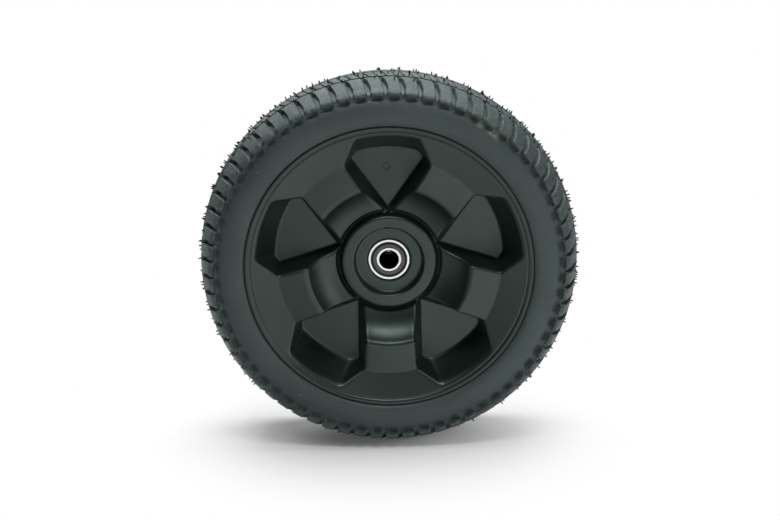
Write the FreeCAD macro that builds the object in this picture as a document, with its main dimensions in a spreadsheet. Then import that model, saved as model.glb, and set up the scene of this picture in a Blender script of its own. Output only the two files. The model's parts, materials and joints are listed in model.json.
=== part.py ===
"""Mower wheel, 254 mm: treaded rubber tyre, five-spoke moulded rim and two sealed ball bearings.

The axle lies on Y, the dished face looks along -Y, and the origin is the middle of the wheel.
"""
import FreeCAD, Part
import Sketcher
import os
import re

from FreeCAD import Vector

# Driving sizes: millimetres, degrees and counts
SIZES = {
    # tyre section
    "tyre_diameter": 254.0,
    "tyre_width": 71.0,
    "widest_diameter": 214.0,
    "crown_curve": 70.0,
    "crown_width": 64.0,
    "tread_edge_width": 70.0,
    "tread_edge_diameter": 227.4,
    "air_space_diameter": 23.0,
    "air_space_pitch": 206.0,
    "tyre_seat_gap": 0.25,
    # tread
    "rib_groove_offset": 12.5,
    "rib_groove_width": 1.4,
    "rib_groove_depth": 2.0,
    "block_count": 67,
    "block_groove_width": 2.7,
    "block_groove_depth": 3.0,
    "block_groove_sweep": 4.4,
    "block_tail_sweep": 4.2,
    "block_tail_width": 0.6,
    # rim flanges and barrel
    "rim_diameter": 191.8,
    "rim_width": 58.4,
    "bead_width": 3.4,
    "bead_drop": 1.7,
    "flange_thickness": 3.6,
    "flange_foot_diameter": 181.0,
    "flange_foot_rise": 1.6,
    "barrel_diameter": 164.0,
    "barrel_flat": 10.0,
    "barrel_wall": 3.6,
    # dished face of the rim, with depths taken from the plane of its beads
    "flare_depth": 0.6,
    "neck_diameter": 148.6,
    "neck_depth": 5.6,
    "ridge_diameter": 113.4,
    "ridge_depth": 4.4,
    "ridge_turn_diameter": 107.64,
    "ridge_turn_depth": 5.36,
    "ridge_lip_diameter": 105.24,
    "ridge_lip_depth": 7.28,
    "band_sag_diameter": 92.0,
    "band_sag_depth": 14.6,
    "band_foot_diameter": 71.4,
    "band_foot_depth": 19.7,
    "moat_depth": 23.2,
    "moat_draft": 0.5,
    "boss_diameter": 63.4,
    "boss_depth": 16.2,
    "boss_round": 1.2,
    "recess_diameter": 47.0,
    "recess_draft": 0.7,
    # spokes and the pockets between them
    "spoke_count": 5,
    "spoke_root_width": 42.8,
    "spoke_neck_width": 35.2,
    "spoke_ridge_width": 33.0,
    "spoke_foot_width": 34.6,
    "pocket_floor_depth": 26.2,
    "floor_thickness": 3.6,
    "pocket_mouth_diameter": 180.0,
    "pocket_mouth_angle": 13.2,
    "pocket_floor_diameter": 155.2,
    "pocket_floor_angle": 15.3,
    "neck_reach": 72.3,
    "ridge_reach": 52.0,
    "foot_reach": 31.0,
    "root_neck_reach": 70.9,
    "root_tip_reach": 30.0,
    "core_wall": 3.2,
    "core_roof_depth": 9.2,
    "core_roof_inner_reach": 58.0,
    "core_mouth_inner_reach": 42.5,
    "core_roof_diameter": 164.0,
    "core_mouth_diameter": 153.6,
    # hub and bearings
    "hub_diameter": 38.0,
    "hub_draft": 1.8,
    "bearing_bore": 12.0,
    "bearing_diameter": 28.0,
    "bearing_width": 8.0,
    "bearing_chamfer": 0.3,
    "bore_chamfer": 0.5,
    "bearing_seat_gap": 0.02,
    "bearing_face_depth": 22.2,
    "spacer_length": 26.0,
    "spacer_wall": 1.8,
    "spacer_gap": 0.2,
    "shoulder_height": 2.2,
    "inner_land_diameter": 17.0,
    "outer_land_diameter": 23.2,
    "ball_count": 8,
    "ball_diameter": 4.762,
    "ball_clearance": 0.25,
    "seal_seat_diameter": 24.9,
    "seal_land_diameter": 16.0,
    "seal_thickness": 0.6,
    "seal_recess": 0.1,
    "seal_gap": 0.3,
    "seal_fit": 0.02,
    "cage_width": 1.8,
    "cage_sheet": 0.4,
    "cage_fit": 0.02,
    "rivet_diameter": 0.7,
    "rivet_head_diameter": 1.3,
    "rivet_head_height": 0.25,
    "cut_margin": 1.0,
}
# Two sketch points closer than this are one point
SAME_PLACE = 0.001

doc = FreeCAD.newDocument("mower_wheel")
sheet = doc.addObject("Spreadsheet::Sheet", "Sizes")
for row, (alias, number) in enumerate(SIZES.items(), start=1):
    sheet.set(f"A{row}", alias)
    sheet.set(f"B{row}", str(number))
    sheet.setAlias(f"B{row}", alias)
doc.recompute()


def formula(text):
    """Point every size named in an expression at its cell."""
    return re.sub(r"[a-z_]+", lambda word: f"Sizes.{word[0]}" if word[0] in SIZES else word[0], text)


def value(text):
    """Work an expression out to a plain number."""
    return float(sheet.evalExpression(formula(text)))


def bind(item, prop, text):
    """Tie a property to an expression of sizes."""
    item.setExpression(prop, formula(text))


def new_body(label, along_axle="0"):
    """Start an empty sub-part whose own origin lies at a place along the axle."""
    body = doc.addObject("PartDesign::Body", label)
    body.Label = label
    bind(body, "Placement.Base.y", along_axle)
    return body


def origin_part(body, role):
    """Find one of a body's own planes or axes."""
    return next(item for item in body.Origin.OriginFeatures if item.Role == role)


def new_sketch(body, name, plane="XY_Plane", offset="0"):
    """Start a sketch on a plane of the body, moved along the plane's normal."""
    sketch = body.newObject("Sketcher::SketchObject", name)
    sketch.AttachmentSupport = [(origin_part(body, plane), "")]
    sketch.MapMode = "FlatFace"
    bind(sketch, "AttachmentOffset.Base.z", offset)
    return sketch


def hold(sketch, geometry, point, across, up):
    """Fix a sketch point at two expressions."""
    for kind, axis, text in (("DistanceX", -2, across), ("DistanceY", -1, up)):
        if text == "0":
            sketch.addConstraint(Sketcher.Constraint("PointOnObject", geometry, point, axis))
        else:
            number = sketch.addConstraint(Sketcher.Constraint(kind, -1, 1, geometry, point, value(text)))
            bind(sketch, f"Constraints[{number}]", text)


def draw(sketch, path):
    """Draw a closed outline: (x, y) ends a line there, (mid x, mid y, x, y) ends an arc there."""
    corners = [step[-2:] for step in path]
    spots = [Vector(value(across), value(up), 0) for across, up in corners]
    pieces = []
    for index, step in enumerate(path):
        start, end = spots[index - 1], spots[index]
        if len(step) == 2:
            geometry = sketch.addGeometry(Part.LineSegment(start, end))
        else:
            middle = Vector(value(step[0]), value(step[1]), 0)
            geometry = sketch.addGeometry(Part.Arc(start, middle, end))
            mark = sketch.addGeometry(Part.Point(middle), True)
            hold(sketch, mark, 1, *step[:2])
            sketch.addConstraint(Sketcher.Constraint("PointOnObject", mark, 1, geometry))
        last = 2 if sketch.getPoint(geometry, 2).isEqual(end, SAME_PLACE) else 1
        pieces.append((geometry, 3 - last, last))
    for index, (geometry, _, last) in enumerate(pieces):
        following, first, _ = pieces[(index + 1) % len(pieces)]
        sketch.addConstraint(Sketcher.Constraint("Coincident", geometry, last, following, first))
        hold(sketch, geometry, last, *corners[index])


def box_path(near, far, low, high):
    """Outline of a plain rectangle."""
    return [(near, low), (far, low), (far, high), (near, high)]


def mirrored(path):
    """Run a path of half a section on to its mirror image across the wheel's middle."""
    corners = [step[-2:] for step in path]
    back = []
    for index in range(len(path) - 1, -1, -1):
        radius, along = corners[index]
        arc = path[index + 1][:2] if index + 1 < len(path) and len(path[index + 1]) == 4 else ()
        flipped = [(arc[0], f"-({arc[1]})")] if arc else []
        spot = (radius, f"-({along})")
        back.append(flipped[0] + spot if flipped else spot)
    return path + back


def turned(body, name, paths, cut=False):
    """Revolve closed outlines of radius and axle place round the axle."""
    sketch = new_sketch(body, f"{name}_outline")
    for path in paths:
        draw(sketch, path)
    kind = "PartDesign::Groove" if cut else "PartDesign::Revolution"
    feature = body.newObject(kind, name)
    feature.Profile = sketch
    feature.ReferenceAxis = (sketch, ["V_Axis"])
    feature.Angle = 360
    return feature


def repeated(body, name, features, count):
    """Repeat features evenly round the axle."""
    pattern = body.newObject("PartDesign::PolarPattern", name)
    pattern.Originals = features
    pattern.Axis = (origin_part(body, "Y_Axis"), [""])
    pattern.Angle = 360
    bind(pattern, "Occurrences", count)
    body.Tip = pattern
    return pattern


def hollow(body, name, sections):
    """Cut a ruled hollow through outlines on planes square to the axle, given as (place, path)."""
    sketches = []
    for number, (along, path) in enumerate(sections, start=1):
        sketch = new_sketch(body, f"{name}_outline_{number}", "XZ_Plane", f"-({along})")
        draw(sketch, path)
        sketches.append(sketch)
    loft = body.newObject("PartDesign::SubtractiveLoft", name)
    loft.Profile = sketches[0]
    loft.Sections = sketches[1:]
    loft.Ruled = True
    return loft


# Places along the axle that several pieces share
BEAD_PLANE = "rim_width / 2"
FRONT_BEARING = "bearing_face_depth + bearing_width / 2 - rim_width / 2"
REAR_BEARING = f"{FRONT_BEARING} + bearing_width + spacer_length"
WEB_BACK = "pocket_floor_depth + floor_thickness - rim_width / 2"


def at_depth(depth):
    """Place along the axle of a depth behind the front bead plane."""
    return f"{depth} - rim_width / 2"


def make_tyre():
    """Moulded tyre with a sealed air space, seated in the rim's channel, and its tread cut in."""
    body = new_body("tyre")
    crown_fall = "(crown_curve - sqrt(crown_curve ^ 2 - crown_width ^ 2 / 4))"
    half = [
        ("barrel_diameter / 2 + tyre_seat_gap", "-barrel_flat / 2"),
        ("flange_foot_diameter / 2 + tyre_seat_gap", f"flange_thickness + flange_foot_rise - {BEAD_PLANE}"),
        ("flange_foot_diameter / 2 + flange_foot_rise", f"flange_thickness + tyre_seat_gap - {BEAD_PLANE}"),
        ("rim_diameter / 2 + tyre_seat_gap", f"flange_thickness + tyre_seat_gap - {BEAD_PLANE}"),
        ("rim_diameter / 2 + tyre_seat_gap", f"bead_drop / 2 - {BEAD_PLANE}"),
        ("widest_diameter / 2", "-tyre_width / 2", "tread_edge_diameter / 2", "-tread_edge_width / 2"),
        (f"tyre_diameter / 2 - {crown_fall}", "-crown_width / 2"),
    ]
    section = mirrored(half)
    crown_end = len(half)
    section[crown_end] = ("tyre_diameter / 2", "0") + section[crown_end]
    turned(body, "tyre_section", [section])
    bubble = "air_space_diameter / 2"
    turned(body, "air_space", [[
        (f"air_space_pitch / 2 - {bubble}", "0", "air_space_pitch / 2", f"-{bubble}"),
        (f"air_space_pitch / 2 + {bubble}", "0", "air_space_pitch / 2", bubble),
    ]], cut=True)
    ribs = []
    for along in ("-rib_groove_offset", "0 * rib_groove_offset", "rib_groove_offset"):
        half_width = "rib_groove_width / 2"
        ribs.append(box_path(f"{crown_at(along)} - rib_groove_depth", "tyre_diameter / 2 + cut_margin",
                             f"{along} - {half_width}", f"{along} + {half_width}"))
    turned(body, "rib_grooves", ribs, cut=True)
    grooves = [
        hollow(body, "block_groove_front", block_groove(-1)),
        hollow(body, "block_groove_rear", block_groove(1)),
    ]
    repeated(body, "tread_blocks", grooves, "block_count")
    return body


def crown_at(along):
    """Radius of the crown's arc at a place along the axle."""
    return f"(tyre_diameter / 2 - crown_curve + sqrt(crown_curve ^ 2 - ({along}) ^ 2))"


def block_groove(sign):
    """Sections of one groove between shoulder blocks, from the rib groove to a point on the sidewall."""
    inner = f"{sign} * rib_groove_offset"
    shoulder = f"{sign} * crown_width / 2"
    edge = f"{sign} * (tread_edge_width / 2 + block_tail_width)"
    rim_of_tread = "tyre_diameter / 2 + cut_margin"
    stations = (
        (inner, "block_groove_width / 2", f"{crown_at(inner)} - block_groove_depth",
         "-block_groove_sweep"),
        (shoulder, "block_groove_width", f"{crown_at(shoulder)} - block_groove_depth",
         "0 * block_groove_sweep"),
        (edge, "block_tail_width", "tread_edge_diameter / 2 - block_tail_width", "block_tail_sweep"),
    )
    sections = []
    for along, width, floor, shift in stations:
        start, stop = f"{shift} - {width} / 2", f"{shift} + {width} / 2"
        sections.append((along, box_path(start, stop, floor, rim_of_tread)))
    return sections


def make_rim():
    """Moulded rim: flanged barrel, dished five-spoke face, hub with two bearing seats."""
    body = new_body("rim")
    bead_inner = "rim_diameter / 2 - bead_width"
    bead_middle = "rim_diameter / 2 - bead_width / 2"
    seat = "bearing_diameter / 2 + bearing_seat_gap"
    shoulder = "bearing_diameter / 2 - shoulder_height"
    front_face, front_back = f"{FRONT_BEARING} - bearing_width / 2", f"{FRONT_BEARING} + bearing_width / 2"
    rear_back, rear_face = f"{REAR_BEARING} - bearing_width / 2", f"{REAR_BEARING} + bearing_width / 2"
    corner = "boss_round * (1 - sqrt(0.5))"
    barrel_inner = "barrel_diameter / 2 - barrel_wall"
    outline = [
        ("rim_diameter / 2", f"bead_drop - {BEAD_PLANE}"),
        (bead_middle, f"-{BEAD_PLANE}", bead_inner, at_depth("flare_depth")),
        ("neck_diameter / 2", at_depth("neck_depth")),
        ("ridge_diameter / 2", at_depth("ridge_depth")),
        ("ridge_turn_diameter / 2", at_depth("ridge_turn_depth"),
         "ridge_lip_diameter / 2", at_depth("ridge_lip_depth")),
        ("band_sag_diameter / 2", at_depth("band_sag_depth"),
         "band_foot_diameter / 2", at_depth("band_foot_depth")),
        ("band_foot_diameter / 2 - moat_draft", at_depth("moat_depth")),
        ("boss_diameter / 2 + moat_draft", at_depth("moat_depth")),
        ("boss_diameter / 2", at_depth("boss_depth + boss_round")),
        (f"boss_diameter / 2 - {corner}", at_depth(f"boss_depth + {corner}"),
         "boss_diameter / 2 - boss_round", at_depth("boss_depth")),
        ("recess_diameter / 2 + boss_round", at_depth("boss_depth")),
        (f"recess_diameter / 2 + {corner}", at_depth(f"boss_depth + {corner}"),
         "recess_diameter / 2", at_depth("boss_depth + boss_round")),
        ("recess_diameter / 2 - recess_draft", front_face),
        (seat, front_face),
        (seat, front_back),
        (shoulder, front_back),
        (shoulder, rear_back),
        (seat, rear_back),
        (seat, rear_face),
        ("hub_diameter / 2", rear_face),
        ("hub_diameter / 2 + hub_draft", WEB_BACK),
        (barrel_inner, WEB_BACK),
        (barrel_inner, "barrel_flat / 2"),
        ("flange_foot_diameter / 2 - barrel_wall", f"{BEAD_PLANE} - flange_thickness - flange_foot_rise"),
        (bead_inner, f"{BEAD_PLANE} - flare_depth"),
        (bead_middle, BEAD_PLANE, "rim_diameter / 2", f"{BEAD_PLANE} - bead_drop"),
        ("rim_diameter / 2", f"{BEAD_PLANE} - flange_thickness"),
        ("flange_foot_diameter / 2 + flange_foot_rise", f"{BEAD_PLANE} - flange_thickness"),
        ("flange_foot_diameter / 2", f"{BEAD_PLANE} - flange_thickness - flange_foot_rise"),
        ("barrel_diameter / 2", "barrel_flat / 2"),
        ("barrel_diameter / 2", "-barrel_flat / 2"),
        ("flange_foot_diameter / 2", f"flange_thickness + flange_foot_rise - {BEAD_PLANE}"),
        ("flange_foot_diameter / 2 + flange_foot_rise", f"flange_thickness - {BEAD_PLANE}"),
        ("rim_diameter / 2", f"flange_thickness - {BEAD_PLANE}"),
    ]
    turned(body, "rim_section", [outline])
    repeated(body, "pockets", [hollow(body, "pocket", pocket_sections())], "spoke_count")
    repeated(body, "cores", [hollow(body, "core", core_sections())], "spoke_count")
    return body


def flank_at(depth, width, width_depth):
    """Half the width of a spoke at a depth: straight from a width at its own depth down to the root."""
    share = f"(pocket_floor_depth - ({depth})) / (pocket_floor_depth - ({width_depth}))"
    return f"(spoke_root_width / 2 - (spoke_root_width - {width}) / 2 * {share})"


def beside_spoke(reach, half_width, side):
    """Place on a spoke's flank, seen from the pocket beside it: across and up."""
    half_pitch = "180 / spoke_count"
    across = f"{side} * ({reach} * sin({half_pitch}) - {half_width} * cos({half_pitch}))"
    up = f"{reach} * cos({half_pitch}) + {half_width} * sin({half_pitch})"
    return across, up


def pocket_path(tip, middle, neck, diameter, angle):
    """Outline of a pocket: blunt tip at the hub, bent flanks, flared corners and an outer arc."""
    arc_end = f"{diameter} / 2 * sin({angle})"
    arc_up = f"{diameter} / 2 * cos({angle})"
    return [
        beside_spoke(*tip, -1),
        beside_spoke(*middle, -1),
        beside_spoke(*neck, -1),
        (f"-{arc_end}", arc_up),
        ("0", f"{diameter} / 2", arc_end, arc_up),
        beside_spoke(*neck, 1),
        beside_spoke(*middle, 1),
        beside_spoke(*tip, 1),
    ]


def pocket_sections():
    """A pocket narrows from its mouth, just clear of the beads, to its flat floor."""
    mouth = pocket_path(("foot_reach", flank_at("-cut_margin", "spoke_foot_width", "band_foot_depth")),
                        ("ridge_reach", flank_at("-cut_margin", "spoke_ridge_width", "ridge_depth")),
                        ("neck_reach", flank_at("-cut_margin", "spoke_neck_width", "neck_depth")),
                        "pocket_mouth_diameter", "pocket_mouth_angle")
    root = "spoke_root_width / 2"
    floor = pocket_path(("root_tip_reach", root), ("ridge_reach", root), ("root_neck_reach", root),
                        "pocket_floor_diameter", "pocket_floor_angle")
    return [(at_depth("-cut_margin"), mouth), (at_depth("pocket_floor_depth"), floor)]


def core_path(half_width, inner_reach, diameter):
    """Outline of the hollow behind the spoke that points straight down."""
    corner_up = f"-sqrt(({diameter} / 2) ^ 2 - ({half_width}) ^ 2)"
    return [
        (half_width, f"-{inner_reach}"),
        (half_width, corner_up),
        ("0", f"-{diameter} / 2", f"-({half_width})", corner_up),
        (f"-({half_width})", f"-{inner_reach}"),
    ]


def core_sections():
    """The hollow behind a spoke keeps a wall to the pockets beside it and a roof under the face."""
    mouth_depth = "pocket_floor_depth + floor_thickness + cut_margin"
    mouth = core_path("spoke_root_width / 2 - core_wall", "core_mouth_inner_reach", "core_mouth_diameter")
    roof = core_path("spoke_ridge_width / 2 - core_wall", "core_roof_inner_reach", "core_roof_diameter")
    return [(at_depth(mouth_depth), mouth), (at_depth("core_roof_depth"), roof)]


def make_spacer():
    """Tube that holds the two inner rings apart on the axle."""
    body = new_body("bearing_spacer", f"({FRONT_BEARING} + {REAR_BEARING}) / 2")
    bore = "bearing_bore / 2 + spacer_gap"
    tube = box_path(bore, f"{bore} + spacer_wall", "-spacer_length / 2", "spacer_length / 2")
    turned(body, "spacer_tube", [tube])
    return body


PITCH = "(bearing_bore + bearing_diameter) / 4"
RACEWAY = "(ball_diameter / 2 + ball_clearance)"
SEAL_STEP = "seal_recess + seal_thickness + seal_gap"


def ring_path(near, seal, land, chamfer, outward):
    """Section of a bearing ring from its fitted face to its raceway; outward is 1 for the inner ring."""
    half = "bearing_width / 2"
    groove_edge = f"sqrt({RACEWAY} ^ 2 - ({PITCH} - ({land})) ^ 2)"
    return [
        (near, f"-({half} - {chamfer})"),
        (f"{near} + {outward} * {chamfer}", f"-{half}"),
        (seal, f"-{half}"),
        (seal, f"-({half} - ({SEAL_STEP}))"),
        (land, f"-({half} - ({SEAL_STEP}))"),
        (land, f"-{groove_edge}"),
        (f"{PITCH} - {outward} * {RACEWAY}", "0", land, groove_edge),
        (land, f"{half} - ({SEAL_STEP})"),
        (seal, f"{half} - ({SEAL_STEP})"),
        (seal, half),
        (f"{near} + {outward} * {chamfer}", half),
        (near, f"{half} - {chamfer}"),
    ]


def around_bearing(sphere, radius):
    """Put a sphere at the place of the first ball."""
    bind(sphere, "Radius", radius)
    bind(sphere, "Placement.Base.z", PITCH)


def make_cage_half(label, along, sign):
    """Pressed half cage: a ribbon that cups each ball and is riveted to its twin."""
    body = new_body(label, along)
    inner, outer = f"{PITCH} - cage_width / 2", f"{PITCH} + cage_width / 2"
    cup = f"{RACEWAY} + cage_sheet"
    joint = f"{sign} * cage_fit"
    turned(body, "ribbon", [box_path(inner, outer, joint, f"{sign} * (cage_fit + cage_sheet)")])
    cups = body.newObject("PartDesign::AdditiveSphere", "cup")
    around_bearing(cups, cup)
    repeated(body, "cups", [cups], "ball_count")
    reach = "bearing_width / 2 + cut_margin"
    turned(body, "cage_trim", [
        box_path("0", "bearing_diameter / 2", f"-{sign} * ({reach})", joint),
        box_path("0", inner, joint, f"{sign} * ({reach})"),
        box_path(outer, "bearing_diameter / 2", joint, f"{sign} * ({reach})"),
    ], cut=True)
    hole = body.newObject("PartDesign::SubtractiveSphere", "ball_hole")
    around_bearing(hole, RACEWAY)
    repeated(body, "ball_holes", [hole], "ball_count")
    rivet_hole = body.newObject("PartDesign::SubtractiveCylinder", "rivet_hole")
    between_balls(rivet_hole, "rivet_diameter / 2 + cage_fit", "cage_sheet + cut_margin")
    repeated(body, "rivet_holes", [rivet_hole], "ball_count")
    return body


def between_balls(cylinder, radius, half_length):
    """Put a cylinder along the axle, halfway from the first ball to the next."""
    cylinder.AttachmentSupport = [(origin_part(cylinder.getParentGeoFeatureGroup(), "XZ_Plane"), "")]
    cylinder.MapMode = "FlatFace"
    bind(cylinder, "AttachmentOffset.Base.x", f"{PITCH} * sin(180 / ball_count)")
    bind(cylinder, "AttachmentOffset.Base.y", f"{PITCH} * cos(180 / ball_count)")
    bind(cylinder, "AttachmentOffset.Base.z", f"-({half_length})")
    bind(cylinder, "Radius", radius)
    bind(cylinder, "Height", f"2 * ({half_length})")


def make_rivets(label, along):
    """Rivets that close the two cage halves on each other."""
    body = new_body(label, along)
    under_head = "cage_fit * 2 + cage_sheet"
    heads = body.newObject("PartDesign::AdditiveCylinder", "heads")
    between_balls(heads, "rivet_head_diameter / 2", f"{under_head} + rivet_head_height")
    repeated(body, "rivets", [heads], "ball_count")
    waist = box_path(f"{PITCH} - rivet_head_diameter", f"{PITCH} + rivet_head_diameter",
                     f"-({under_head})", under_head)
    turned(body, "waist", [waist], cut=True)
    shank = body.newObject("PartDesign::AdditiveCylinder", "shank")
    between_balls(shank, "rivet_diameter / 2", f"{under_head} + rivet_head_height / 2")
    repeated(body, "shanks", [shank], "ball_count")
    return body


def make_balls(label, along):
    """The bearing's balls, evenly spaced."""
    body = new_body(label, along)
    ball = body.newObject("PartDesign::AdditiveSphere", "ball")
    around_bearing(ball, "ball_diameter / 2")
    repeated(body, "ball_row", [ball], "ball_count")
    return body


def make_bearing(end, along, sign):
    """One sealed ball bearing; sign points from the wheel's middle to the bearing's outer face."""
    outer = new_body(f"{end}_outer_ring", along)
    turned(outer, "ring", [ring_path("bearing_diameter / 2", "seal_seat_diameter / 2",
                                     "outer_land_diameter / 2", "bearing_chamfer", -1)])
    inner = new_body(f"{end}_inner_ring", along)
    turned(inner, "ring", [ring_path("bearing_bore / 2", "seal_land_diameter / 2",
                                     "inner_land_diameter / 2", "bore_chamfer", 1)])
    pieces = [outer, inner, make_balls(f"{end}_balls", along), make_rivets(f"{end}_cage_rivets", along)]
    for side, facing in (("outer", sign), ("inner", -sign)):
        seal = new_body(f"{end}_{side}_seal", along)
        face = f"{facing} * (bearing_width / 2 - seal_recess)"
        inside, outside = "seal_land_diameter / 2 + seal_gap", "seal_seat_diameter / 2 - seal_fit"
        turned(seal, "washer", [box_path(inside, outside, f"{face} - {facing} * seal_thickness", face)])
        pieces.append(seal)
        pieces.append(make_cage_half(f"{end}_cage_{side}_half", along, facing))
    return pieces


parts = [make_tyre(), make_rim(), make_spacer()]
parts += make_bearing("front", FRONT_BEARING, -1)
parts += make_bearing("rear", REAR_BEARING, 1)
doc.recompute()

# Every feature has to be sound before anything is written
for item in doc.Objects:
    if "Invalid" in item.State or "Error" in item.State:
        raise RuntimeError(f"{item.Label} failed: {item.State}")
os.makedirs("parts", exist_ok=True)
for part in parts:
    if part.Shape.isNull() or not part.Shape.isValid():
        raise RuntimeError(f"{part.Label} has no sound shape")
for part in parts:
    part.Shape.exportStep(f"parts/{part.Label}.step")
    print(f"{part.Label}: {len(part.Shape.Solids)} solids, {part.Shape.Volume / 1000:.2f} cm3")
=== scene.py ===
"""Looks of the mower wheel: moulded tread with vent hairs, satin black rim, bright bearing rings."""
import json
import math
import random

import bpy
import numpy as np
from mathutils import Matrix, Vector


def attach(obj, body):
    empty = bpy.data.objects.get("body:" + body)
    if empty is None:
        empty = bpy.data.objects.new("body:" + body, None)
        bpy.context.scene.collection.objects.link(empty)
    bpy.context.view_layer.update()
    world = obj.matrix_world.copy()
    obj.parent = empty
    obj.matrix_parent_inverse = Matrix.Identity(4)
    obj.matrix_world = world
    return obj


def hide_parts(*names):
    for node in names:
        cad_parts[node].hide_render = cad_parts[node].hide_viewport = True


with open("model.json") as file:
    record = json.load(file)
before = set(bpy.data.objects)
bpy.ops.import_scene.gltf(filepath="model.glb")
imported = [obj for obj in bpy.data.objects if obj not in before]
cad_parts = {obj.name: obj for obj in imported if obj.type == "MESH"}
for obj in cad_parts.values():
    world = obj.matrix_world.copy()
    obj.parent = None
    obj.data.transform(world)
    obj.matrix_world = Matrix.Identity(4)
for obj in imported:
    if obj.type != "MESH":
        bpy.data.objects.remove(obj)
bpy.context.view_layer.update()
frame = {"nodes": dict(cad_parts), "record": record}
nodes = frame["nodes"]
scene = bpy.context.scene
# The wheel's own lengths below are in millimetres, the studio's in metres
MM = 0.001


# Materials: helpers
def new_material(name):
    """A material, its shader, and functions that add nodes and link a socket to the shader."""
    material = bpy.data.materials.new(name)
    material.use_nodes = True
    tree = material.node_tree
    shader = tree.nodes["Principled BSDF"]

    def add(kind, inputs=None, **settings):
        node = tree.nodes.new(kind)
        for key, setting in settings.items():
            setattr(node, key, setting)
        for key, source in (inputs or {}).items():
            if isinstance(source, bpy.types.NodeSocket):
                tree.links.new(source, node.inputs[key])
            else:
                node.inputs[key].default_value = source
        return node

    def link(source, socket):
        tree.links.new(source, shader.inputs[socket])

    return material, shader, add, link


def tint(red, green, blue):
    """An opaque colour."""
    return (red, green, blue, 1.0)


def noise(add, place, cells, detail=4.0, rough=0.55):
    """Soft noise from 0 to 1, with a number of cells to a metre."""
    inputs = {"Vector": place, "Scale": cells, "Detail": detail, "Roughness": rough}
    return add("ShaderNodeTexNoise", inputs).outputs["Fac"]


def spread(add, source, low, high, start=0.3, end=0.7):
    """A number that goes from low to high as its source goes from start to end."""
    inputs = {"Value": source, "From Min": start, "From Max": end, "To Min": low, "To Max": high}
    return add("ShaderNodeMapRange", inputs).outputs["Result"]


def varied(add, place, cells, low=0.0, high=1.0):
    """A number that wanders between two limits over the object."""
    return spread(add, noise(add, place, cells), low, high)


def blend(add, factor, first, second):
    """A colour between two, by a factor."""
    return add("ShaderNodeMix", {"Factor": factor, "A": first, "B": second}, data_type="RGBA").outputs[2]


def times(add, one, two):
    """The product of two numbers."""
    return add("ShaderNodeMath", {0: one, 1: two}, operation="MULTIPLY").outputs["Value"]


def less(add, one, two):
    """1 where the first number is below the second, 0 elsewhere."""
    return add("ShaderNodeMath", {0: one, 1: two}, operation="LESS_THAN").outputs["Value"]


def axle_radius(add, place):
    """Distance from the axle's line."""
    flatten = {0: place, 1: (1.0, 0.0, 1.0)}
    across = add("ShaderNodeVectorMath", flatten, operation="MULTIPLY").outputs["Vector"]
    return add("ShaderNodeVectorMath", {0: across}, operation="LENGTH").outputs["Value"]


def distance_to(add, place, spot):
    """Distance from a spot."""
    spot = [MM * part for part in spot]
    return add("ShaderNodeVectorMath", {0: place, 1: spot}, operation="DISTANCE").outputs["Value"]


def ring_line(add, distance, middle, half):
    """1 where a distance has a middle value, falling to 0 beside it."""
    beside = add("ShaderNodeMath", {0: distance, 1: middle * MM}, operation="SUBTRACT").outputs["Value"]
    away = add("ShaderNodeMath", {0: beside}, operation="ABSOLUTE").outputs["Value"]
    return spread(add, away, 1.0, 0.0, half * MM / 2, half * MM)


def bump(add, height, strength, depth, **under):
    """A surface that follows a height, on top of another surface where one is given."""
    inputs = {"Height": height, "Strength": strength, "Distance": depth * MM}
    return add("ShaderNodeBump", {**inputs, **under}).outputs["Normal"]


# Rim plastic
PLASTIC_DARK, PLASTIC_PALE = tint(0.0024, 0.0080, 0.0066), tint(0.0040, 0.0105, 0.0088)
PLASTIC_CELLS = 18.0
PLASTIC_GLOSS, PLASTIC_GLOSS_TINT = 0.90, tint(0.82, 1.0, 0.95)
PLASTIC_ROUGHNESS, PLASTIC_ROUGHNESS_CELLS = (0.34, 0.44), 42.0
MOULD_CELLS, MOULD_DETAIL, MOULD_STRENGTH, MOULD_DEPTH = 900.0, 2.0, 0.06, 0.2
# Ring round the moulding gate: its middle, its radius and half the width of its line
GATE_SPOT, GATE_RING, GATE_LINE = (-0.5, -3.0, 63.6), 2.2, 0.6
GATE_STRENGTH, GATE_HEIGHT = 0.5, 0.5


def rim_plastic():
    """Satin black plastic with a fine moulded grain, and the moulding gate's ring in the top pocket."""
    material, shader, add, link = new_material("rim_plastic")
    place = add("ShaderNodeTexCoord").outputs["Object"]
    shader.inputs["Specular Tint"].default_value = PLASTIC_GLOSS_TINT
    shader.inputs["Specular IOR Level"].default_value = PLASTIC_GLOSS
    link(blend(add, varied(add, place, PLASTIC_CELLS), PLASTIC_DARK, PLASTIC_PALE), "Base Color")
    link(varied(add, place, PLASTIC_ROUGHNESS_CELLS, *PLASTIC_ROUGHNESS), "Roughness")
    grain = bump(add, noise(add, place, MOULD_CELLS, MOULD_DETAIL), MOULD_STRENGTH, MOULD_DEPTH)
    gate = ring_line(add, distance_to(add, place, GATE_SPOT), GATE_RING, GATE_LINE)
    link(bump(add, gate, GATE_STRENGTH, GATE_HEIGHT, Normal=grain), "Normal")
    return material


# Tyre rubber
RUBBER_DARK, RUBBER_PALE = tint(0.0320, 0.0450, 0.0425), tint(0.047, 0.063, 0.060)
RUBBER_CELLS = 30.0
RUBBER_GLOSS, RUBBER_GLOSS_TINT = 0.78, tint(0.82, 1.0, 0.98)
RUBBER_ROUGHNESS, RUBBER_ROUGHNESS_CELLS = (0.50, 0.66), 60.0
# Share of the tread's mottle and grain that the sidewall has, and the radii between which it rises
SIDEWALL_SHARE, SIDEWALL_EDGE, TREAD_EDGE = 0.12, 110.0, 116.0
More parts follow.
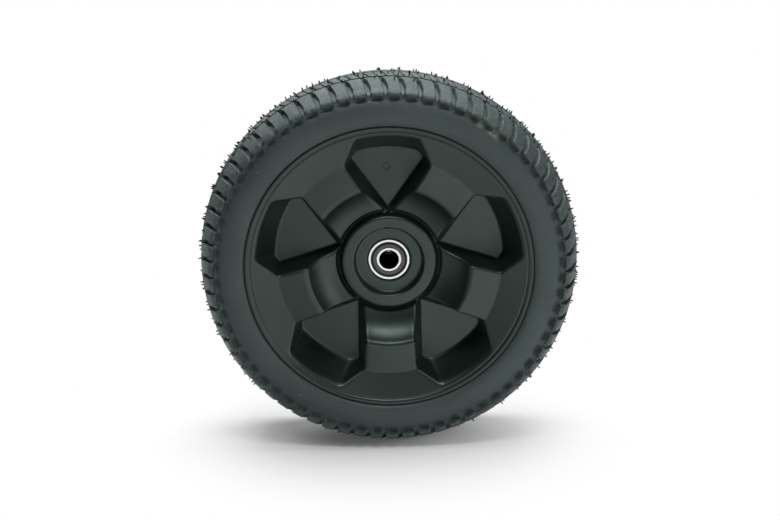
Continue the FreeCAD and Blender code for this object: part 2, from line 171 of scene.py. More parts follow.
# Fine darker rings that run round the tyre, and paler mottle, specks and grain
RING_TINT, RING_SHARE, RING_CELLS = tint(0.018, 0.027, 0.025), 0.4, 700.0
MOTTLE_TINT, MOTTLE_SHARE, MOTTLE_CELLS = tint(0.085, 0.098, 0.104), 0.8, 260.0
MOTTLE_START, MOTTLE_END = 0.5, 0.68
SPECK_TINT, SPECK_SHARE, SPECK_CELLS = tint(0.30, 0.32, 0.31), 0.25, 130.0
SPECK_SIZE, SPECK_EDGE = 0.04, 1.5
GRAIN_CELLS, GRAIN_DETAIL, GRAIN_ROUGH = 520.0, 5.0, 0.65
GRAIN_STRENGTH, GRAIN_DEPTH = 1.0, 0.5
# Smudges: middles, solid core, reach, and their least strength in a patch
SMUDGES = ((67.0, -31.0, 92.0), (69.1, -31.0, 90.4), (71.2, -31.0, 88.7), (60.1, -31.0, 96.6))
SMUDGE_CORE, SMUDGE_REACH, SMUDGE_LEAST = 0.6, 3.2, 0.2
SMUDGE_TINT = tint(0.24, 0.25, 0.19)


def specks(add, place):
    """Scattered pale specks: 1 on a speck, 0 beside it, in a share of the cells."""
    cells = add("ShaderNodeTexVoronoi", {"Vector": place, "Scale": SPECK_CELLS})
    dot = spread(add, cells.outputs["Distance"], 1.0, 0.0, SPECK_SIZE, SPECK_EDGE * SPECK_SIZE)
    chosen = add("ShaderNodeSeparateColor", {"Color": cells.outputs["Color"]}).outputs["Red"]
    return times(add, dot, less(add, chosen, SPECK_SHARE))


def ringed(add, radius, base):
    """A colour darkened in fine rings round the axle."""
    along = add("ShaderNodeCombineXYZ", {"X": radius}).outputs["Vector"]
    return blend(add, varied(add, along, RING_CELLS, 0.0, RING_SHARE), base, RING_TINT)


def smudged(add, place, patches, base):
    """A colour with the patchy yellowish smudges on it."""
    for spot in SMUDGES:
        near = spread(add, distance_to(add, place, spot), 1.0, 0.0, SMUDGE_CORE * MM, SMUDGE_REACH * MM)
        base = blend(add, times(add, near, spread(add, patches, SMUDGE_LEAST, 1.0)), base, SMUDGE_TINT)
    return base


def tyre_rubber():
    """Dull black rubber, mottled and dusty, with a fine grain and yellowish smudges on the shoulder."""
    material, shader, add, link = new_material("tyre_rubber")
    place = add("ShaderNodeTexCoord").outputs["Object"]
    shader.inputs["Specular Tint"].default_value = RUBBER_GLOSS_TINT
    shader.inputs["Specular IOR Level"].default_value = RUBBER_GLOSS
    radius = axle_radius(add, place)
    tread = spread(add, radius, SIDEWALL_SHARE, 1.0, SIDEWALL_EDGE * MM, TREAD_EDGE * MM)
    patches = noise(add, place, MOTTLE_CELLS)
    mottle = times(add, tread, spread(add, patches, 0.0, MOTTLE_SHARE, MOTTLE_START, MOTTLE_END))
    base = blend(add, varied(add, place, RUBBER_CELLS), RUBBER_DARK, RUBBER_PALE)
    base = blend(add, mottle, ringed(add, radius, base), MOTTLE_TINT)
    base = blend(add, specks(add, place), base, SPECK_TINT)
    link(smudged(add, place, patches, base), "Base Color")
    link(varied(add, place, RUBBER_ROUGHNESS_CELLS, *RUBBER_ROUGHNESS), "Roughness")
    grain = times(add, noise(add, place, GRAIN_CELLS, GRAIN_DETAIL, GRAIN_ROUGH), tread)
    link(bump(add, grain, GRAIN_STRENGTH, GRAIN_DEPTH), "Normal")
    return material


# Vent hairs' rubber, with painted shade: much darker than the tread's rubber, standing in for the shade
# on the hairs' sides
HAIR_SHADED_DARK, HAIR_SHADED_PALE, HAIR_CELLS = tint(0.004, 0.005, 0.005), tint(0.012, 0.014, 0.014), 400.0
HAIR_GLOSS, HAIR_ROUGHNESS, HAIR_ROUGHNESS_CELLS = 0.25, (0.6, 0.8), 300.0


def hair_rubber():
    """Thin rubber hairs, duller than the tread, with painted shade that makes them darker than the
    tread.
    """
    material, shader, add, link = new_material("hair_rubber")
    place = add("ShaderNodeTexCoord").outputs["Object"]
    shader.inputs["Specular IOR Level"].default_value = HAIR_GLOSS
    link(blend(add, noise(add, place, HAIR_CELLS), HAIR_SHADED_DARK, HAIR_SHADED_PALE), "Base Color")
    link(varied(add, place, HAIR_ROUGHNESS_CELLS, *HAIR_ROUGHNESS), "Roughness")
    return material


# Metals: how dark the fine marks are, how fine the marks and the shine, and the near-black colour
# painted inside a bore as shade
MARK_SHADE, MARK_CELLS, SHINE_CELLS = 0.86, 350.0, 900.0
BORE_SHADE_TINT = tint(0.012, 0.012, 0.012)


def steel(name, colour, roughness, edge=1.0, shaded_bore=0.0):
    """Bare metal, or near-black where its colour is painted shade, its shine broken by fine marks;
    painted shade within a radius of the axle: near-black and fully rough.
    """
    material, shader, add, link = new_material(name)
    place = add("ShaderNodeTexCoord").outputs["Object"]
    shader.inputs["Metallic"].default_value = 1.0
    shader.inputs["Specular Tint"].default_value = tint(edge, edge, edge)
    marked = tint(*(MARK_SHADE * part for part in colour))
    bare = blend(add, varied(add, place, MARK_CELLS), tint(*colour), marked)
    radius = axle_radius(add, add("ShaderNodeNewGeometry").outputs["Position"])
    # Painted shade: inside this radius the metal is near-black and fully rough
    bore = less(add, radius, shaded_bore * MM)
    link(blend(add, bore, bare, BORE_SHADE_TINT), "Base Color")
    shine = varied(add, place, SHINE_CELLS, *roughness)
    link(add("ShaderNodeMath", {0: shine, 1: bore}, operation="MAXIMUM").outputs["Value"], "Roughness")
    return material


# Bearing seals: colour, shine, and the radius and half width of the lines of painted shade in the
# grooves beside the rings
SEAL_DARK, SEAL_PALE, SEAL_CELLS = tint(0.090, 0.100, 0.092), tint(0.125, 0.136, 0.124), 240.0
SEAL_GLOSS, SEAL_ROUGHNESS, SEAL_ROUGHNESS_CELLS = 0.2, (0.42, 0.60), 500.0
SEAL_SHADE_LINES, SEAL_SHADE_HALF, SEAL_SHADE_TINT = (7.9, 11.3), 0.8, tint(0.003, 0.004, 0.004)


def seal_rubber():
    """Moulded seal, with painted shade as dark lines in the grooves beside the two rings."""
    material, shader, add, link = new_material("seal_rubber")
    place = add("ShaderNodeTexCoord").outputs["Object"]
    shader.inputs["Specular IOR Level"].default_value = SEAL_GLOSS
    base = blend(add, noise(add, place, SEAL_CELLS), SEAL_DARK, SEAL_PALE)
    radius = axle_radius(add, add("ShaderNodeNewGeometry").outputs["Position"])
    # Painted shade: dark lines in the grooves beside the two rings
    for line in SEAL_SHADE_LINES:
        base = blend(add, ring_line(add, radius, line, SEAL_SHADE_HALF), base, SEAL_SHADE_TINT)
    link(base, "Base Color")
    link(varied(add, place, SEAL_ROUGHNESS_CELLS, *SEAL_ROUGHNESS), "Roughness")
    return material


# Metals of the bearings and the spacer, and the look that goes with each name; the bearings' bores and
# the spacer are painted near-black as the shade deep in the bore
BEARING_COLOUR, BEARING_ROUGHNESS, BEARING_BORE = (0.97, 0.985, 0.965), (0.16, 0.26), 6.75
BALL_COLOUR, BALL_ROUGHNESS = (0.84, 0.84, 0.85), (0.06, 0.12)
CAGE_COLOUR, CAGE_ROUGHNESS = (0.58, 0.56, 0.53), (0.25, 0.40)
# The spacer's near-black colour and dimmed edge reflection are painted shade deep in the bore
SPACER_SHADE_COLOUR, SPACER_ROUGHNESS, SPACER_EDGE = (0.03, 0.03, 0.03), (0.60, 0.75), 0.1
LOOKS = {
    "tyre_rubber": tyre_rubber(),
    "hair_rubber": hair_rubber(),
    "rim_plastic": rim_plastic(),
    "bearing_steel": steel("bearing_steel", BEARING_COLOUR, BEARING_ROUGHNESS, shaded_bore=BEARING_BORE),
    "ball_steel": steel("ball_steel", BALL_COLOUR, BALL_ROUGHNESS),
    "cage_steel": steel("cage_steel", CAGE_COLOUR, CAGE_ROUGHNESS),
    "spacer_steel": steel("spacer_steel", SPACER_SHADE_COLOUR, SPACER_ROUGHNESS, edge=SPACER_EDGE),
    "seal_rubber": seal_rubber(),
}


def wear(item, look):
    """Give a piece one of the looks."""
    item.data.materials.clear()
    item.data.materials.append(LOOKS[look])


for piece in frame["record"]["subparts"]:
    wear(nodes[piece["node"]], piece["material_slot"])


# Meshes that ride the wheel
def grid_faces(lines, columns, closed):
    """Four-cornered faces of a grid round the wheel, its last line joined to its first if closed."""
    number = np.arange(lines * columns).reshape(lines, columns)
    beside = np.roll(number, -1, axis=1)
    faces = np.stack([number, beside, np.roll(beside, -1, axis=0), np.roll(number, -1, axis=0)], axis=-1)
    return (faces if closed else faces[:-1]).reshape(-1, 4)


def new_piece(name, points, faces, look, slot):
    """A mesh that rides the wheel and wears a look."""
    mesh = bpy.data.meshes.new(name)
    corners = [tuple(point) for point in points]
    mesh.from_pydata(corners, [], [tuple(int(number) for number in face) for face in faces])
    mesh.update()
    item = bpy.data.objects.new(name, mesh)
    scene.collection.objects.link(item)
    wear(item, look)
    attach(item, "wheel")
    return item


def smooth(item, crease):
    """Shade a piece smooth, apart from edges sharper than a crease angle."""
    item.data.shade_smooth()
    item.data.set_sharp_from_angle(angle=crease)


# Tyre: a grid that follows the tread's grooves round the wheel and across its section
PITCHES = 67
PITCH_TURN = 2 * math.pi / PITCHES
CROWN_RADIUS, CROWN_CURVE = 127.0, 70.0
RIM_EDGE, SEAT_GAP = 95.9, 0.25
TREAD_CREASE = math.radians(38)
# Groove edges round the wheel, and groove depth, by distance from the middle
GROOVE_LEFT = ((1.0, -3.9), (11.8, 0.1), (12.0, -5.1), (14.5, -4.8), (16.0, -4.2), (18.0, -3.5),
               (21.0, -3.0), (24.0, -2.6), (28.0, -2.1), (31.2, -1.5))
GROOVE_RIGHT = ((1.0, -3.0), (11.8, 1.2), (12.0, -3.1), (14.5, -2.7), (16.0, -1.4), (18.0, -0.8),
                (20.0, -0.4), (22.5, 0.2), (26.0, 1.0), (28.8, 1.2), (31.2, 0.9))
GROOVE_DEPTH = ((0.7, 0.0), (1.2, 1.6), (11.6, 1.8), (12.0, 0.3), (14.0, 0.5), (15.2, 3.0), (17.0, 3.2),
                (20.0, 3.0), (24.0, 2.8), (28.0, 2.6), (31.2, 2.4))
# Grooves that run round the crown: middle, half width and depth, and how far their edges slope
RIB_GROOVES = ((0.0, 0.65, 1.8), (12.5, 0.75, 2.2))
RIB_EDGE = 0.12
# Where the ribs have a fine cut across the land
CUT_RIB = (1.2, 11.6)
# Distances from the middle at which the crown has a row
CROWN_PLACES = (0.0, 0.45, 0.62, 0.85, 2.0, 4.4, 6.8, 9.2, 10.8, 11.55, 11.78, 11.95, 12.5, 13.05,
                13.22, 13.45, 14.4, 15.4, 16.6, 18.2, 20.0, 22.0, 24.2, 26.2, 27.8, 29.1)
# Below the crown: block end, buttress under the groove, groove edges and how softly they round
BLOCK_END = (((30.4, 119.9), (29.4, 117.5), -1.5, 0.9, 1.0),
             ((31.5, 119.1), (29.8, 116.7), -1.5, 0.9, 1.2),
             ((32.3, 118.2), (30.0, 116.0), -1.6, 1.0, 1.4),
             ((32.6, 117.4), (30.0, 115.4), -1.8, 1.2, 1.6),
             ((32.4, 116.7), (29.9, 114.9), -2.1, 1.5, 1.8),
             ((31.0, 116.2), (29.9, 114.4), -2.4, 1.7, 2.0),
             ((29.6, 115.6), (30.1, 113.9), -2.7, 1.9, 2.2),
             ((29.0, 114.6), (30.5, 113.3), -3.0, 2.1, 2.4),
             ((29.6, 113.5), (31.0, 112.7), -3.3, 2.3, 2.6),
             ((30.9, 112.3), (31.5, 111.9), -3.6, 2.5, 2.8))
# From under the blocks to the bead and the inside: distance from the middle, and radius
SIDEWALL = ((32.0, 110.9), (32.7, 109.2), (33.25, 106.8), (33.4, 102.8), (32.9, 99.6), (32.3, 98.0),
            (31.7, 97.0), (31.0, 96.4), (29.6, RIM_EDGE + SEAT_GAP), (25.35, RIM_EDGE + SEAT_GAP),
            (25.35, 92.1), (24.0, 90.75), (5.0, 82.25))
# Across one groove wall, and across the land beside it: place and share of the depth
GROOVE_WALL = ((-0.5, 0.0), (-0.12, 0.15), (0.12, 0.85), (0.3, 1.0))
LAND = ((0.2, 0.0), (0.445, 0.0), (0.5, 1.0), (0.555, 0.0), (0.8, 0.0))
# A groove's width for each unit of softness, at the least
NARROWEST = 0.7


def crown(across):
    """Radius of the crown at a distance from the middle."""
    return CROWN_RADIUS - CROWN_CURVE + math.sqrt(CROWN_CURVE ** 2 - across ** 2)


def between(stations, at):
    """Straight-line look-up in (place, number) stations."""
    places, numbers = zip(*stations)
    return float(np.interp(at, places, numbers))


def below_crown(across, depth):
    """The place that lies a depth under the crown."""
    lean = across / CROWN_CURVE
    return across - depth * lean, crown(across) - depth * math.sqrt(1 - lean * lean)


def rib_depth(across):
    """Depth of the grooves that run round the crown."""
    deepest = 0.0
    for middle, half, depth in RIB_GROOVES:
        inside = (half + RIB_EDGE - abs(across - middle)) / (2 * RIB_EDGE)
        deepest = max(deepest, depth * min(1.0, max(0.0, inside)))
    return deepest


def tyre_rows():
    """Half of the section, from the middle out: land, groove floor, groove edges, softness, cut land."""
    rows = []
    for across in CROWN_PLACES:
        sunk = rib_depth(across)
        deep = max(sunk, between(GROOVE_DEPTH, across))
        edges = between(GROOVE_LEFT, across), between(GROOVE_RIGHT, across)
        cut = CUT_RIB[0] <= across <= CUT_RIB[1]
        rows.append((below_crown(across, sunk), below_crown(across, deep), *edges, 1.0, cut))
    rows += [(*row, False) for row in BLOCK_END]
    rows += [(spot, spot, *BLOCK_END[-1][2:], False) for spot in SIDEWALL]
    return rows


def pitch_columns(left, right, soft, arc, cut):
    """Places round one pitch, and the share of the groove's depth at each."""
    soft = min(soft, (right - left) / NARROWEST)
    cells = [(left + step * soft, share) for step, share in GROOVE_WALL]
    cells += [((left + right) / 2, 1.0)]
    cells += [(right - step * soft, share) for step, share in GROOVE_WALL[::-1]]
    first, last = cells[-1][0], cells[0][0] + arc
    cells += [(first + (last - first) * part, share * cut) for part, share in LAND]
    return np.array(cells).T


def tyre_mesh():
    """Vertices and faces of the tyre, both sides."""
    half = tyre_rows()
    ring = [(row, -1) for row in half[::-1]] + [(row, 1) for row in half[1:]]
    pitch_turns = np.arange(PITCHES)[:, None] * PITCH_TURN
    sheet = []
    for (land, floor, left, right, soft, cut), side in ring:
        offset, share = pitch_columns(left, right, soft, PITCH_TURN * land[1], cut)
        turn = (pitch_turns + offset / land[1]).ravel()
        across = np.tile(land[0] + (floor[0] - land[0]) * share, PITCHES)
        radius = np.tile(land[1] + (floor[1] - land[1]) * share, PITCHES)
        sheet.append(np.stack([radius * np.sin(turn), side * across, radius * np.cos(turn)], axis=-1))
    sheet = np.array(sheet)
    return sheet.reshape(-1, 3) * MM, grid_faces(*sheet.shape[:2], closed=True)


tyre = new_piece("tyre_skin", *tyre_mesh(), "tyre_rubber", "tyre_rubber")
smooth(tyre, TREAD_CREASE)
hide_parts("tyre")

# Vent hairs: distance from the middle and how many of a hundred pitches keep one there
HAIR_PLACES = ((-18.5, 25), (-14.3, 60), (-9.4, 75), (-5.6, 80), (-2.2, 60),
               (2.2, 60), (5.6, 80), (9.4, 75), (14.3, 60), (18.5, 25))
HAIR_SEED, HAIR_SIDES = 11, 5
# How far they scatter within a pitch and across, how far they lean, and how tall and deep they stand
HAIR_TURNS, HAIR_SPREAD, HAIR_LEAN = (0.1, 0.9), 1.2, 0.16
HAIR_HEIGHT, HAIR_ROOT = (1.3, 2.3), 0.4
# Share of the height and radius there, above the root
HAIR_SECTION = ((0.6, 0.46), (1.0, 0.16))
ROOT_RADIUS = 0.52
# The floor's place in degrees round the wheel, worn and bare stretches beside it, and the share worn off
FLOOR_TURN, WORN_HALF, BARE_HALF, WORN_SHARE = 180, 28.0, 12.0, 0.7
AXLE = Vector((0, 1, 0))


def kept_hair(dice, turn, percent):
    """Whether a hair is still there: some never formed, and those near the floor are worn off."""
    from_floor = abs(math.degrees(turn) - FLOOR_TURN)
    worn = from_floor < WORN_HALF and dice.random() < WORN_SHARE
    return dice.random() * 100 < percent and not worn and from_floor > BARE_HALF


def add_hair(corners, sides, base, along, tall):
    """One tapered hair, from a little under the rubber to its tip."""
    first = len(corners)
    one = along.cross(AXLE).normalized()
    two = along.cross(one)
    rings = [(-HAIR_ROOT, ROOT_RADIUS)] + [(tall * share, thick) for share, thick in HAIR_SECTION]
    for height, thick in rings:
        for step in range(HAIR_SIDES):
            turn = step * 2 * math.pi / HAIR_SIDES
            outward = one * math.cos(turn) + two * math.sin(turn)
            corners.append((base + along * height + outward * thick) * MM)
    for level in range(len(HAIR_SECTION)):
        for step in range(HAIR_SIDES):
            here = first + level * HAIR_SIDES + step
            beside = first + level * HAIR_SIDES + (step + 1) % HAIR_SIDES
            sides.append((here, beside, beside + HAIR_SIDES, here + HAIR_SIDES))
    sides.append(tuple(first + len(HAIR_SECTION) * HAIR_SIDES + step for step in range(HAIR_SIDES)))


def hair_mesh():
    """Short vent hairs on the ribs and the inner ends of the blocks."""
    dice = random.Random(HAIR_SEED)
    corners, sides = [], []
    for pitch in range(PITCHES):
        for across, percent in HAIR_PLACES:
            turn = (pitch + dice.uniform(*HAIR_TURNS)) * PITCH_TURN
            spot = across + dice.uniform(-HAIR_SPREAD, HAIR_SPREAD)
            lean = Vector([dice.uniform(-HAIR_LEAN, HAIR_LEAN) for _ in range(3)])
            tall = dice.uniform(*HAIR_HEIGHT)
            if not kept_hair(dice, turn, percent):
                continue
            radius = crown(abs(spot))
            base = Vector((radius * math.sin(turn), spot, radius * math.cos(turn)))
            out = Vector((math.sin(turn), spot / CROWN_CURVE, math.cos(turn))).normalized()
            add_hair(corners, sides, base, (out + lean).normalized(), tall)
    return corners, sides


# The hairs wear the tread's rubber with painted shade, darker than the tread
new_piece("vent_hairs", *hair_mesh(), "hair_rubber", "tyre_rubber")

# Rim: face and back are each one depth for every place on the wheel, with rounded edges
SPOKES = 5
HALF_PITCH = math.pi / SPOKES
MOULDING_CREASE = math.radians(50)
# Distance from the wheel's middle to the bead plane
BEAD_PLANE = 29.2
# Bearing seats: radius, radius of the shoulder between them, and both ends of each along the axle
SEAT_RADIUS, SHOULDER_RADIUS = 14.02, 11.8
FRONT_SEAT, REAR_SEAT = (-7.0, 1.0), (27.0, 35.0)
# Flange and barrel: radius and distance from the middle
FLANGE = (RIM_EDGE, 25.6)
BARREL = ((92.1, 25.6), (90.5, 24.0), (82.0, 5.0))
BARREL_INSIDE = ((86.9, 24.0), (78.4, 5.0))
# Radius of the rear hub at the web and at its end
HUB_FOOT, HUB_END = 20.8, 19.0
# The dished face, from the rim's edge to the bearing: radius and depth behind the bead plane
BEAD = ((RIM_EDGE, -0.7), (95.6, -1.1), (95.0, -1.3), (94.2, -1.15), (93.2, -0.75), (92.5, -0.4))
BAND = ((74.3, 5.6), (56.7, 4.4))
BROW, RIDGE, SAG, FOOT = (54.0, 5.3), (52.6, 7.3), (46.0, 14.6), (35.7, 19.7)
BOSS = ((34.9, 21.2), (34.2, 22.9), (33.5, 23.1), (32.7, 21.4), (32.2, 19.0), (31.8, 17.4), (31.2, 16.6),
        (30.4, 16.3), (29.4, 16.2), (24.1, 16.2), (23.6, 16.4), (23.3, 17.0), (22.5, 22.2), (15.0, 22.2),
        (SEAT_RADIUS, 23.4))
# Fine line inside the bead: radius, half width and depth
BEAD_LINE = (92.2, 0.45, 0.4)
# The face's bends are softened over a reach, in steps whose weight falls off from the middle
SOFTENING, SOFTENING_STEPS, SOFTENING_FALL = 0.7, 9, 0.8
# Notch: middle and half size, across and up
NOTCH_PLACE, NOTCH_HALF, NOTCH_DEPTH = (-0.5, 23.1), (2.2, 1.0), 4.0
# Pockets: corner places (across, up) at the mouth and on the floor
MOUTH_DEPTH, FLOOR_DEPTH = -1.0, 26.2
POCKET_TIP = ((14.8, 27.6), (0.3, 36.8))
POCKET_BEND = ((18.2, 51.1), (13.2, 54.7))
POCKET_NECK = ((29.2, 68.1), (24.4, 69.9))
POCKET_END = ((20.6, 87.6), (20.5, 74.9))
POCKET_ARC = (90.0, 77.6)
POCKET_INNER = 33.4
EDGE_ROUND, FOOT_ROUND, CORNER_ROUND = 1.7, 1.2, 1.4
# Hollows behind the spokes: at the roof and at the mouth
WEB_BACK, CORE_ROOF, CORE_ROUND = 29.8, 9.2, 1.2
CORE_HALF, CORE_INNER, CORE_RADIUS = (13.3, 18.2), (58.0, 42.5), 76.8
# Grid: even rows and cells to half a spoke, and finer rows at the face's small steps
FACE_ROWS, BACK_ROWS, WEDGE_CELLS = 128, 100, 60
FINE_STARTS, FINE_REACH, FINE_STEP = (22.4, 31.0, 34.6, 91.2), 1.8, 0.22
# Search for a surface: a depth in front of the whole face, spare depth behind, and number of halvings
CLEAR_DEPTH, SPARE_DEPTH, HALVINGS = -4.0, 1.0, 24
# Limit on the squared slope by which depths count as less distance on a sloping face
STEEPEST = 1.5


def round_max(one, two, radius):
    """The larger of two distances, with the edge where they meet rounded."""
    rounded = np.hypot(np.maximum(radius + one, 0), np.maximum(radius + two, 0))
    return np.minimum(-radius, np.maximum(one, two)) + rounded


def slide(pair, share):
    """Between a pair of numbers or corner places, by a share."""
    first, last = np.array(pair[0]), np.array(pair[1])
    return [start + (stop - start) * share for start, stop in zip(first.reshape(-1), last.reshape(-1))]


def beyond(spot, start, end):
    """Distance to the right of a line through two places."""
    across, up = end[0] - start[0], end[1] - start[1]
    return ((spot[0] - start[0]) * up - (spot[1] - start[1]) * across) / np.hypot(across, up)


def arc_through(start, middle, end, steps=16):
    """Places along the circle through three places."""
    first, second, third = (complex(*place) for place in (start, middle, end))
    ratio = (third - first) / (second - first)
    centre = first + (second - first) * (ratio - abs(ratio) ** 2) / (2j * ratio.imag)
    turns = np.unwrap(np.angle(np.array([first, second, third]) - centre))
    places = centre + abs(first - centre) * np.exp(1j * np.linspace(turns[0], turns[2], steps))
    return [(place.real, place.imag) for place in places]


def face_depth(radius):
    """Depth of the turned face, softened at its bends."""
    dish = [*BEAD, *BAND, *arc_through(BAND[-1], BROW, RIDGE), *arc_through(RIDGE, SAG, FOOT), *BOSS]
    radii, depths = np.array(dish[::-1]).T
    steps = np.linspace(-1, 1, SOFTENING_STEPS)
    weights = 1 - np.abs(steps) * SOFTENING_FALL
    total = 0.0
    for step, weight in zip(steps, weights):
        total = total + np.interp(radius + step * SOFTENING, radii, depths) * weight
    middle, half, depth = BEAD_LINE
    return total / np.sum(weights) + depth * np.exp(-((radius - middle) / half) ** 2)


def pocket_reach(spot, radius, depth):
    """Distance outside a pocket's hollow, less than nothing inside it."""
    share = (depth - MOUTH_DEPTH) / (FLOOR_DEPTH - MOUTH_DEPTH)
    corners = POCKET_TIP, POCKET_BEND, POCKET_NECK, POCKET_END
    tip, bend, neck, end = (slide(pair, share) for pair in corners)
    flank = -round_max(-beyond(spot, tip, bend), -beyond(spot, bend, neck), CORNER_ROUND)
    walls = round_max(flank, beyond(spot, neck, end), CORNER_ROUND)
    walls = round_max(walls, radius - slide(POCKET_ARC, share)[0], CORNER_ROUND)
    walls = np.maximum(walls, POCKET_INNER - radius)
    return round_max(walls, depth - FLOOR_DEPTH, FOOT_ROUND)


def core_reach(spot, radius, depth):
    """Distance outside the hollow behind a spoke, less than nothing inside it."""
    share = (depth - CORE_ROOF) / (WEB_BACK - CORE_ROOF)
    half, inner = slide(CORE_HALF, share)[0], slide(CORE_INNER, share)[0]
    walls = round_max(spot[0] - half, inner - spot[1], CORE_ROUND)
    walls = round_max(walls, radius - CORE_RADIUS, CORE_ROUND)
    return round_max(walls, CORE_ROOF - depth, CORE_ROUND)


def settle(solid, shape, outside, inside):
    """Depth, over a grid, at which a distance changes sign between two depths, found by halving."""
    outside, inside = np.full(shape, outside), np.full(shape, inside)
    for _ in range(HALVINGS):
        middle = (outside + inside) / 2
        empty = solid(middle) > 0
        outside, inside = np.where(empty, middle, outside), np.where(empty, inside, middle)
    return (outside + inside) / 2


def half_wedge(radii):
    """Radius, and place across and up, on a grid from the middle of a wedge to its side."""
    turn, radius = np.meshgrid(np.linspace(0, HALF_PITCH, WEDGE_CELLS + 1), radii)
    return radius, (radius * np.sin(turn), radius * np.cos(turn))


def whole_turn(half, first_turn):
    """Repeat half a wedge, mirrored, round the wheel: depths and the turn of each column."""
    order = np.abs(np.arange(-WEDGE_CELLS, WEDGE_CELLS))
    columns = np.arange(-WEDGE_CELLS, WEDGE_CELLS * (2 * SPOKES - 1))
    return np.tile(half[:, order], SPOKES), first_turn + HALF_PITCH * columns / WEDGE_CELLS


def lathe(radii, along, turns):
    """Points and faces of a grid, from each line's radius and each corner's place along the axle."""
    radius = np.asarray(radii)[:, None]
    places = np.stack([radius * np.sin(turns), along, radius * np.cos(turns)], axis=-1)
    return places.reshape(-1, 3) * MM, grid_faces(*places.shape[:2], closed=False)


def notch(radii, turns):
    """Extra depth of the small notch at the top of the recess's edge."""
    across = np.abs(np.outer(radii, np.sin(turns)) - NOTCH_PLACE[0])
    up = np.abs(np.outer(radii, np.cos(turns)) - NOTCH_PLACE[1])
    return NOTCH_DEPTH * ((across < NOTCH_HALF[0]) & (up < NOTCH_HALF[1]))


def rim_face_mesh():
    """The dished face with its pockets, from the rim's edge to the bearing seat."""
    fine = [np.arange(start, start + FINE_REACH, FINE_STEP) for start in FINE_STARTS]
    even = np.linspace(SEAT_RADIUS, RIM_EDGE, FACE_ROWS)
    radii = np.unique(np.concatenate([even, *fine]))[::-1]
    radius, spot = half_wedge(radii)
    face = face_depth(radius)
    slope = np.gradient(face_depth(radii), radii)[:, None]
    flat = 1 / np.sqrt(1 + np.minimum(slope ** 2, STEEPEST))

    def solid(depth):
        return round_max((face - depth) * flat, -pocket_reach(spot, radius, depth), EDGE_ROUND)

    half = settle(solid, radius.shape, CLEAR_DEPTH, FLOOR_DEPTH + SPARE_DEPTH)
    depth, turns = whole_turn(half, 0.0)
    points, faces = lathe(radii, depth + notch(radii, turns) - BEAD_PLANE, turns)
    return points, faces[:, ::-1]


def back_outline():
    """Radius and place along the axle, before the web from the face's edge, and after it to the seat."""
    before = [(RIM_EDGE, float(face_depth(RIM_EDGE)) - BEAD_PLANE), (FLANGE[0], -FLANGE[1])]
    before += [(reach, -along) for reach, along in BARREL]
    before += [*BARREL[::-1], FLANGE]
    before += [(reach, BEAD_PLANE - depth) for reach, depth in BEAD]
    before += BARREL_INSIDE
    after = [(HUB_END, REAR_SEAT[1]), (SEAT_RADIUS, REAR_SEAT[1]), (SEAT_RADIUS, REAR_SEAT[0])]
    after += [(SHOULDER_RADIUS, REAR_SEAT[0]), (SHOULDER_RADIUS, FRONT_SEAT[1])]
    after += [(SEAT_RADIUS, FRONT_SEAT[1]), (SEAT_RADIUS, FRONT_SEAT[0])]
    return before, after


def rim_back_mesh():
    """Flanges, barrel, the back of the web with the hollows behind the spokes, and the hub."""
    radii = np.linspace(BARREL_INSIDE[1][0], HUB_FOOT, BACK_ROWS)
    radius, spot = half_wedge(radii)

    def solid(depth):
        return round_max(depth - WEB_BACK, -core_reach(spot, radius, depth), CORE_ROUND)

    half = settle(solid, radius.shape, WEB_BACK + SPARE_DEPTH, CORE_ROOF - SPARE_DEPTH)
    web, turns = whole_turn(half, HALF_PITCH)
    before, after = back_outline()
    start, end = (np.array([[along] * len(turns) for _, along in part]) for part in (before, after))
    reaches = [reach for reach, _ in before] + list(radii) + [reach for reach, _ in after]
    return lathe(reaches, np.concatenate([start, web - BEAD_PLANE, end]), turns)


for name, mesh in (("rim_face", rim_face_mesh()), ("rim_back", rim_back_mesh())):
    moulding = new_piece(name, *mesh, "rim_plastic", "rim_plastic")
    smooth(moulding, MOULDING_CREASE)
    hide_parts("rim")

# Floor: white near and far, and it keeps the wheel's shadow
FLOOR = -CROWN_RADIUS * MM
FLOOR_SIZE, FLOOR_TINT, FLOOR_ROUGHNESS, FLOOR_GLOSS = 12.0, tint(0.86, 0.86, 0.86), 0.9, 0.1
WHITE = tint(1.0, 1.0, 1.0)
# Middle of the shadow, its start and end from there, and the share of white glow painted into its
# middle, which lightens the shadow there
SHADOW_MIDDLE, SHADOW_START, SHADOW_END, SHADOW_LIGHTENING = (-20.0, 40.0, 0.0), 60.0, 200.0, 0.06


def floor_white():
    """White floor that takes shadow near the wheel, with white glow painted in that lightens the shadow,
    and reads as plain white far from it.
    """
    material, shader, add, _ = new_material("floor_white")
    shader.inputs["Base Color"].default_value = FLOOR_TINT
    shader.inputs["Roughness"].default_value = FLOOR_ROUGHNESS
    shader.inputs["Specular IOR Level"].default_value = FLOOR_GLOSS
    place = add("ShaderNodeTexCoord").outputs["Object"]
    away = distance_to(add, place, SHADOW_MIDDLE)
    # A share of white glow is painted into the shadow's middle, lightening it; far off, the floor is
    # plain white
    far = spread(add, away, SHADOW_LIGHTENING, 1.0, SHADOW_START * MM, SHADOW_END * MM)
    share = times(add, far, add("ShaderNodeLightPath").outputs["Is Camera Ray"])
    glow = add("ShaderNodeEmission", {"Color": WHITE, "Strength": 1.0}).outputs["Emission"]
    mix = add("ShaderNodeMixShader", {"Fac": share, 1: shader.outputs["BSDF"], 2: glow})
    tree = material.node_tree
    tree.links.new(mix.outputs["Shader"], tree.nodes["Material Output"].inputs["Surface"])
    return material


bpy.ops.mesh.primitive_plane_add(size=FLOOR_SIZE, location=(0, 0, FLOOR))
floor = bpy.context.object
floor.name = "floor"
floor.data.materials.append(floor_white())

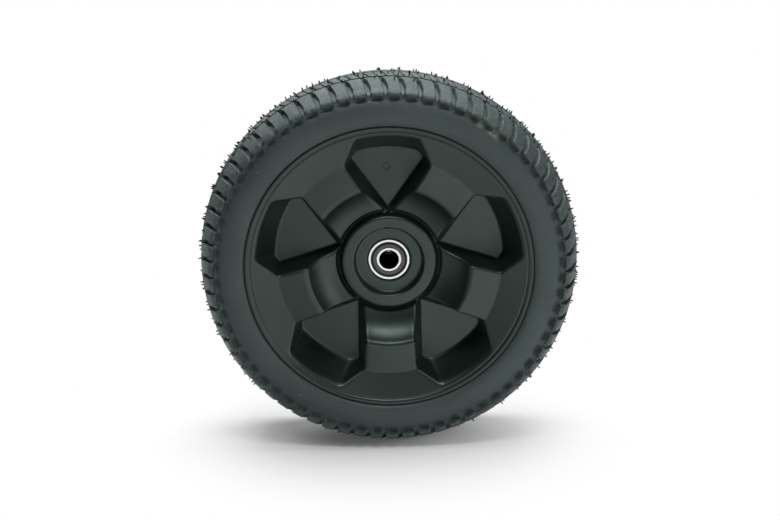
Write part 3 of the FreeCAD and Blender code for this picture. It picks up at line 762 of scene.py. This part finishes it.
# Faint glow all round, plain white where the camera sees it
WORLD_GLOW = 0.05
world = bpy.data.worlds.new("studio")
world.use_nodes = True
scene.world = world
backdrop = world.node_tree.nodes["Background"]
backdrop.inputs["Color"].default_value = WHITE
sight = world.node_tree.nodes.new("ShaderNodeLightPath")
level = world.node_tree.nodes.new("ShaderNodeMapRange")
level.inputs["To Min"].default_value = WORLD_GLOW
world.node_tree.links.new(sight.outputs["Is Camera Ray"], level.inputs["Value"])
world.node_tree.links.new(level.outputs["Result"], backdrop.inputs["Strength"])

# Soft panels that face the wheel: place, size, and power in watts
PANELS = {
    "overhead": ((0.0, 0.22, 1.3), (1.3, 0.7), 20.0),
    "top_strip": ((0.0, -0.50, 1.2), (0.9, 0.25), 6.5),
    "right_panel": ((1.15, -0.75, 0.25), (0.8, 0.7), 3.0),
    "front_fill": ((0.15, -1.7, 0.0), (1.2, 0.25), 2.0),
    "back_panel": ((-0.25, 1.1, 0.7), (1.6, 0.8), 8.0),
}


def soft_light(name, place, size, power):
    """A soft panel that faces the wheel's middle."""
    data = bpy.data.lights.new(name, "AREA")
    data.shape = "RECTANGLE"
    data.size, data.size_y = size
    data.energy = power
    lamp = bpy.data.objects.new(name, data)
    scene.collection.objects.link(lamp)
    lamp.location = place
    lamp.rotation_euler = (-Vector(place)).to_track_quat("-Z", "Y").to_euler()


for name, panel in PANELS.items():
    soft_light(name, *panel)

# Cards on the floor: place, size, turn, and how pale they are
CARDS = {
    "near_card": ((-0.335, -0.17), (0.63, 0.26), 0.0, 0.30),
    "far_card": ((-0.62, -0.98), (1.2, 1.4), math.radians(8), 0.52),
}
CARD_HEIGHT, CARD_ROUGHNESS = FLOOR + 0.5 * MM, 0.9


def floor_card(name, place, size, turn, shade):
    """A card on the floor, out of the camera's sight, that dims what the wheel mirrors there."""
    bpy.ops.mesh.primitive_plane_add(size=1.0, location=(*place, CARD_HEIGHT), rotation=(0, 0, turn))
    card = bpy.context.object
    card.name = name
    card.scale = (*size, 1.0)
    card.visible_camera = False
    card.visible_shadow = False
    card.visible_diffuse = False
    material, shader, *_ = new_material(name)
    shader.inputs["Base Color"].default_value = tint(shade, shade, shade)
    shader.inputs["Roughness"].default_value = CARD_ROUGHNESS
    card.data.materials.append(material)


for name, card in CARDS.items():
    floor_card(name, *card)

# Camera at the photo's place: in front, a little above, tipped by a degree
AIM = Vector((0.0, -7.0 * MM, 0.0))
ELEVATION, DISTANCE, TIP = math.radians(16.3), 1.080, math.radians(-0.95)
# Sensor and lens in millimetres; the photo's width and the shift in its pixels
SENSOR, LENS = 36.0, 73.9
PHOTO_WIDTH, SHIFT_ACROSS, SHIFT_UP = 780, 1.0, -0.4
camera = bpy.data.objects.new("camera", bpy.data.cameras.new("camera"))
scene.collection.objects.link(camera)
stand = AIM + DISTANCE * Vector((0, -math.cos(ELEVATION), math.sin(ELEVATION)))
camera.matrix_world = (Matrix.Translation(stand) @ Matrix.Rotation(math.pi / 2 - ELEVATION, 4, "X")
                       @ Matrix.Rotation(TIP, 4, "Z"))
camera.data.sensor_width = SENSOR
camera.data.lens = LENS
camera.data.shift_x = SHIFT_ACROSS / PHOTO_WIDTH
camera.data.shift_y = SHIFT_UP / PHOTO_WIDTH
camera.data.dof.use_dof = False
scene.camera = camera
scene.view_settings.view_transform = "Standard"
